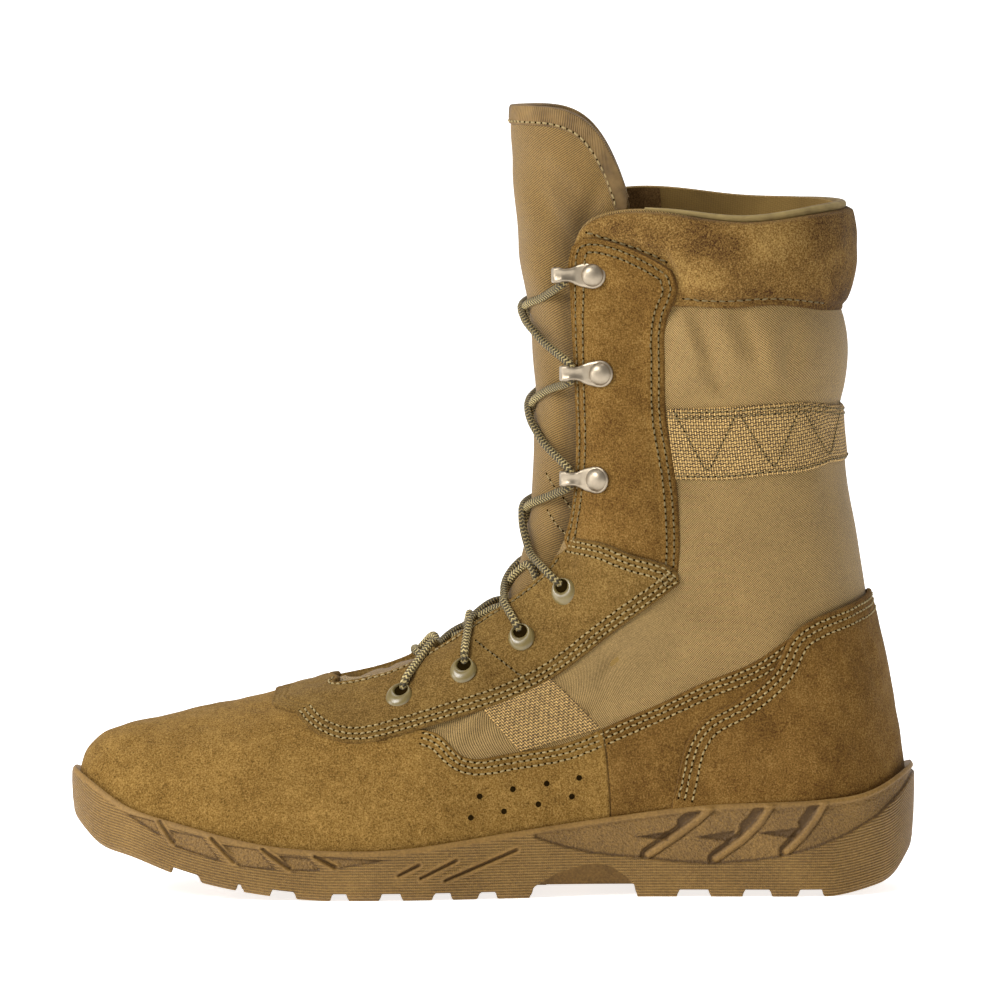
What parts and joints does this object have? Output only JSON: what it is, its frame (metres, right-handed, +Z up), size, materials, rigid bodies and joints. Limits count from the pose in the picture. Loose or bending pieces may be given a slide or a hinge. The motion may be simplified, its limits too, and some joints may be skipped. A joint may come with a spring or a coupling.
{
  "type": "military boot",
  "caption": "Lace-up military boot of suede and nylon with padded cuff, tall tongue, speed hooks and eyelets, heel counter and a lugged rubber sole.",
  "frame": {"origin": "centre of the boot's bounding box on the floor that the sole stands on", "axes": "+X from toe to heel along the sole, +Y from the boot's inner side to its outer side, +Z up"},
  "size_m": [0.302, 0.1068, 0.2803],
  "materials": {
    "sole_rubber": "matte moulded",
    "footbed": "woven top",
    "upper_wall": "woven nylon and suede",
    "tongue_cloth": "twill",
    "suede": "napped",
    "webbing": "woven tape",
    "hardware": "satin paint",
    "lace_cord": "round braid"
  },
  "bodies": {
    "root": {"outsole": "sole_rubber", "insole": "footbed", "upper": "upper_wall", "tongue": "tongue_cloth", "eyestay": "suede", "facing_near": "suede", "facing_far": "suede", "heel_counter": "suede", "cuff": "suede", "shaft_webbing": "webbing", "instep_webbing_near": "webbing", "instep_webbing_far": "webbing", "eyelet_near_1": "hardware", "eyelet_near_2": "hardware", "eyelet_near_3": "hardware", "eyelet_near_4": "hardware", "eyelet_far_1": "hardware", "eyelet_far_2": "hardware", "eyelet_far_3": "hardware", "eyelet_far_4": "hardware", "hook_near_1": "hardware", "hook_near_2": "hardware", "hook_near_3": "hardware", "hook_far_1": "hardware", "hook_far_2": "hardware", "hook_far_3": "hardware", "lace_bar": "lace_cord", "lace_crossing_1": "lace_cord", "lace_crossing_2": "lace_cord", "lace_crossing_3": "lace_cord", "lace_crossing_4": "lace_cord", "lace_crossing_5": "lace_cord", "lace_crossing_6": "lace_cord"}
  },
  "joints": []
}
